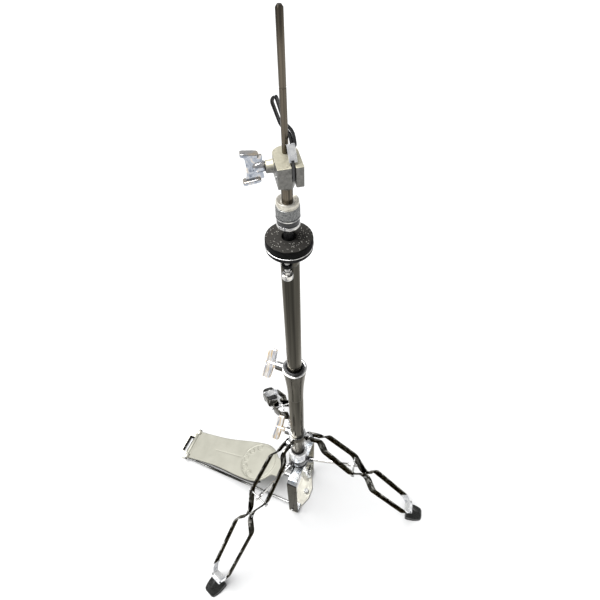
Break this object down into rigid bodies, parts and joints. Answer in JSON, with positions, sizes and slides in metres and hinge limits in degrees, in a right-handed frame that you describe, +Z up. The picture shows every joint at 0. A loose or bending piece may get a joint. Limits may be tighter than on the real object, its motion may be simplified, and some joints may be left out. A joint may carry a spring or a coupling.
{
  "type": "hi-hat stand",
  "caption": "Floor-standing hi-hat stand with foot pedal, pull rod, telescoping tubes, folding tripod, tilting cymbal seat and drop clutch.",
  "frame": {"origin": "on the floor, on the axis of the tubes, at the underside of the base plate", "axes": "+Z up along the tubes and the pull rod; the heel of the pedal points to -Y; +X is across the pedal"},
  "size_m": [0.5064, 0.6112, 1.045],
  "materials": {
    "dark_chrome": "smoke-dark polished chrome",
    "bright_chrome": "bright polished chrome",
    "rod_steel": "satin steel rod, slightly warm",
    "zinc_steel": "zinc-plated steel",
    "plate_steel": "satin plated steel",
    "cast_board": "satin cast aluminium",
    "clutch_cast": "satin die-cast clutch body",
    "black_nylon": "moulded nylon",
    "rubber": "moulded rubber",
    "felt": "pressed wool felt",
    "black_enamel": "semi-gloss black enamel"
  },
  "bodies": {
    "base": {"base_plate": "plate_steel", "frame_strap": "dark_chrome", "frame_rivets": "zinc_steel", "hub_spindle": "black_enamel", "hub_nut": "zinc_steel", "socket_cup": "bright_chrome", "lower_tube": "dark_chrome", "clamp_collar": "dark_chrome", "tube_bushing": "black_nylon", "spring_seat": "zinc_steel", "return_spring": "zinc_steel", "radius_rods": "bright_chrome", "heel_plate": "plate_steel", "heel_pin": "zinc_steel"},
    "spur_screw": {"spur_screw": "zinc_steel"},
    "footboard": {"footboard": "cast_board", "toe_bracket": "zinc_steel", "toe_pin": "zinc_steel", "board_rivets": "zinc_steel"},
    "pull_link": {"pull_link": "zinc_steel"},
    "pull_rod": {"upper_rod": "rod_steel", "rod_coupler": "zinc_steel", "lower_rod": "rod_steel", "rod_clevis": "zinc_steel", "clevis_pin": "zinc_steel", "spring_stop": "zinc_steel"},
    "upper_stage": {"upper_tube": "dark_chrome", "tilter_hub": "black_enamel", "seat_sleeve": "black_nylon"},
    "tilter_screw": {"tilter_screw": "bright_chrome"},
    "seat": {"seat_cup": "black_enamel", "seat_felt": "felt"},
    "clutch_lower": {"clutch_shaft": "bright_chrome", "lower_flange": "bright_chrome", "clutch_felt": "felt", "clutch_washer": "bright_chrome", "knurled_nut": "zinc_steel", "bevel_nut": "bright_chrome"},
    "clutch_block": {"clutch_block": "clutch_cast", "lever_pin": "zinc_steel"},
    "release_lever": {"release_lever": "bright_chrome"},
    "clutch_wing_bolt": {"clutch_wing_bolt": "bright_chrome"},
    "height_wing_bolt": {"height_wing_bolt": "bright_chrome"},
    "leg_wing_bolt": {"leg_wing_bolt": "bright_chrome"},
    "tripod_ring": {"tripod_ring": "black_enamel", "ring_pins": "zinc_steel"},
    "leg_collar": {"leg_collar": "bright_chrome"},
    "leg_1": {"leg_1": "dark_chrome", "leg_1_pins": "zinc_steel", "leg_1_foot": "rubber"},
    "brace_1": {"brace_1": "zinc_steel"},
    "leg_2": {"leg_2": "dark_chrome", "leg_2_pins": "zinc_steel", "leg_2_foot": "rubber"},
    "brace_2": {"brace_2": "zinc_steel"},
    "leg_3": {"leg_3": "dark_chrome", "leg_3_pins": "zinc_steel", "leg_3_foot": "rubber"},
    "brace_3": {"brace_3": "zinc_steel"}
  },
  "joints": [
    {"name": "spur_turn", "type": "hinge", "parent": "base", "child": "spur_screw", "pos_m": [0, 0.017, 0.006], "axis": [0, 0, 1], "range_deg": [-360, 360]},
    {"name": "pedal_press", "type": "hinge", "parent": "base", "child": "footboard", "pos_m": [0, -0.294, 0.015], "axis": [-1, 0, 0], "range_deg": [0, 8], "stiffness_Nm_per_rad": 20, "springref_deg": -14.32},
    {"name": "rod_slide", "type": "slide", "parent": "base", "child": "pull_rod", "axis": [0, 0, -1], "range_m": [0, 0.0369], "deforming": ["return_spring"]},
    {"name": "link_swing", "type": "hinge", "parent": "pull_rod", "child": "pull_link", "pos_m": [0, 0, 0.14], "axis": [1, 0, 0], "range_deg": [0, 9.4]},
    {"name": "height_slide", "type": "slide", "parent": "base", "child": "upper_stage", "axis": [0, 0, 1], "range_m": [-0.06, 0.06]},
    {"name": "tilt_screw_turn", "type": "hinge", "parent": "upper_stage", "child": "tilter_screw", "pos_m": [0.01785, 0.00445, 0.778], "axis": [0, 0, 1], "range_deg": [0, 720]},
    {"name": "seat_tilt", "type": "hinge", "parent": "upper_stage", "child": "seat", "pos_m": [0, 0, 0.806], "axis": [0.2419, -0.9703, 0], "range_deg": [0, 5]},
    {"name": "clutch_lift", "type": "slide", "parent": "upper_stage", "child": "clutch_lower", "axis": [0, 0, 1], "range_m": [0, 0.03]},
    {"name": "clutch_release", "type": "slide", "parent": "clutch_lower", "child": "clutch_block", "axis": [0, 0, 1], "range_m": [0, 0.012]},
    {"name": "lever_swing", "type": "hinge", "parent": "clutch_block", "child": "release_lever", "pos_m": [0.01492, 0.01006, 0.913], "axis": [0.5592, -0.829, 0], "range_deg": [0, 15]},
    {"name": "clutch_wing_turn", "type": "hinge", "parent": "clutch_block", "child": "clutch_wing_bolt", "pos_m": [0.01678, -0.02487, 0.915], "axis": [0.5592, -0.829, 0], "range_deg": [-180, 180]},
    {"name": "height_wing_turn", "type": "hinge", "parent": "base", "child": "height_wing_bolt", "pos_m": [0, -0.04, 0.548], "axis": [0, -1, 0], "range_deg": [-180, 180]},
    {"name": "tripod_swivel", "type": "hinge", "parent": "base", "child": "tripod_ring", "pos_m": [0, 0, 0.205], "axis": [0, 0, 1], "range_deg": [-25, 15]},
    {"name": "collar_lift", "type": "slide", "parent": "tripod_ring", "child": "leg_collar", "axis": [0, 0, 1], "range_m": [0, 0.08]},
    {"name": "leg_wing_turn", "type": "hinge", "parent": "leg_collar", "child": "leg_wing_bolt", "pos_m": [0, -0.038, 0.318], "axis": [0, -1, 0], "range_deg": [-180, 180]},
    {"name": "leg_1_fold", "type": "hinge", "parent": "leg_collar", "child": "leg_1", "pos_m": [0.02255, -0.00821, 0.318], "axis": [0.342, 0.9397, 0], "range_deg": [0, 17.95]},
    {"name": "leg_2_fold", "type": "hinge", "parent": "leg_collar", "child": "leg_2", "pos_m": [-0.00417, 0.02363, 0.318], "axis": [-0.9848, -0.1736, 0], "range_deg": [0, 17.95]},
    {"name": "leg_3_fold", "type": "hinge", "parent": "leg_collar", "child": "leg_3", "pos_m": [-0.01838, -0.01543, 0.318], "axis": [0.6428, -0.766, 0], "range_deg": [0, 17.95]},
    {"name": "brace_1_fold", "type": "hinge", "parent": "tripod_ring", "child": "brace_1", "pos_m": [0.02415, -0.00879, 0.204], "axis": [-0.342, -0.9397, 0], "range_deg": [0, 42.22]},
    {"name": "brace_2_fold", "type": "hinge", "parent": "tripod_ring", "child": "brace_2", "pos_m": [-0.00446, 0.02531, 0.204], "axis": [0.9848, 0.1736, 0], "range_deg": [0, 42.22]},
    {"name": "brace_3_fold", "type": "hinge", "parent": "tripod_ring", "child": "brace_3", "pos_m": [-0.01969, -0.01652, 0.204], "axis": [-0.6428, 0.766, 0], "range_deg": [0, 42.22]}
  ],
  "couplings": [
    {"joint": "rod_slide", "follows": "pedal_press", "m_per_rad": 0.2641},
    {"joint": "link_swing", "follows": "pedal_press", "ratio": 1.1677},
    {"joint": "seat_tilt", "follows": "tilt_screw_turn", "ratio": 0.0069444},
    {"joint": "leg_1_fold", "follows": "collar_lift", "rad_per_m": 3.9158},
    {"joint": "leg_2_fold", "follows": "collar_lift", "rad_per_m": 3.9158},
    {"joint": "leg_3_fold", "follows": "collar_lift", "rad_per_m": 3.9158},
    {"joint": "brace_1_fold", "follows": "collar_lift", "rad_per_m": 9.2104},
    {"joint": "brace_2_fold", "follows": "collar_lift", "rad_per_m": 9.2104},
    {"joint": "brace_3_fold", "follows": "collar_lift", "rad_per_m": 9.2104}
  ]
}
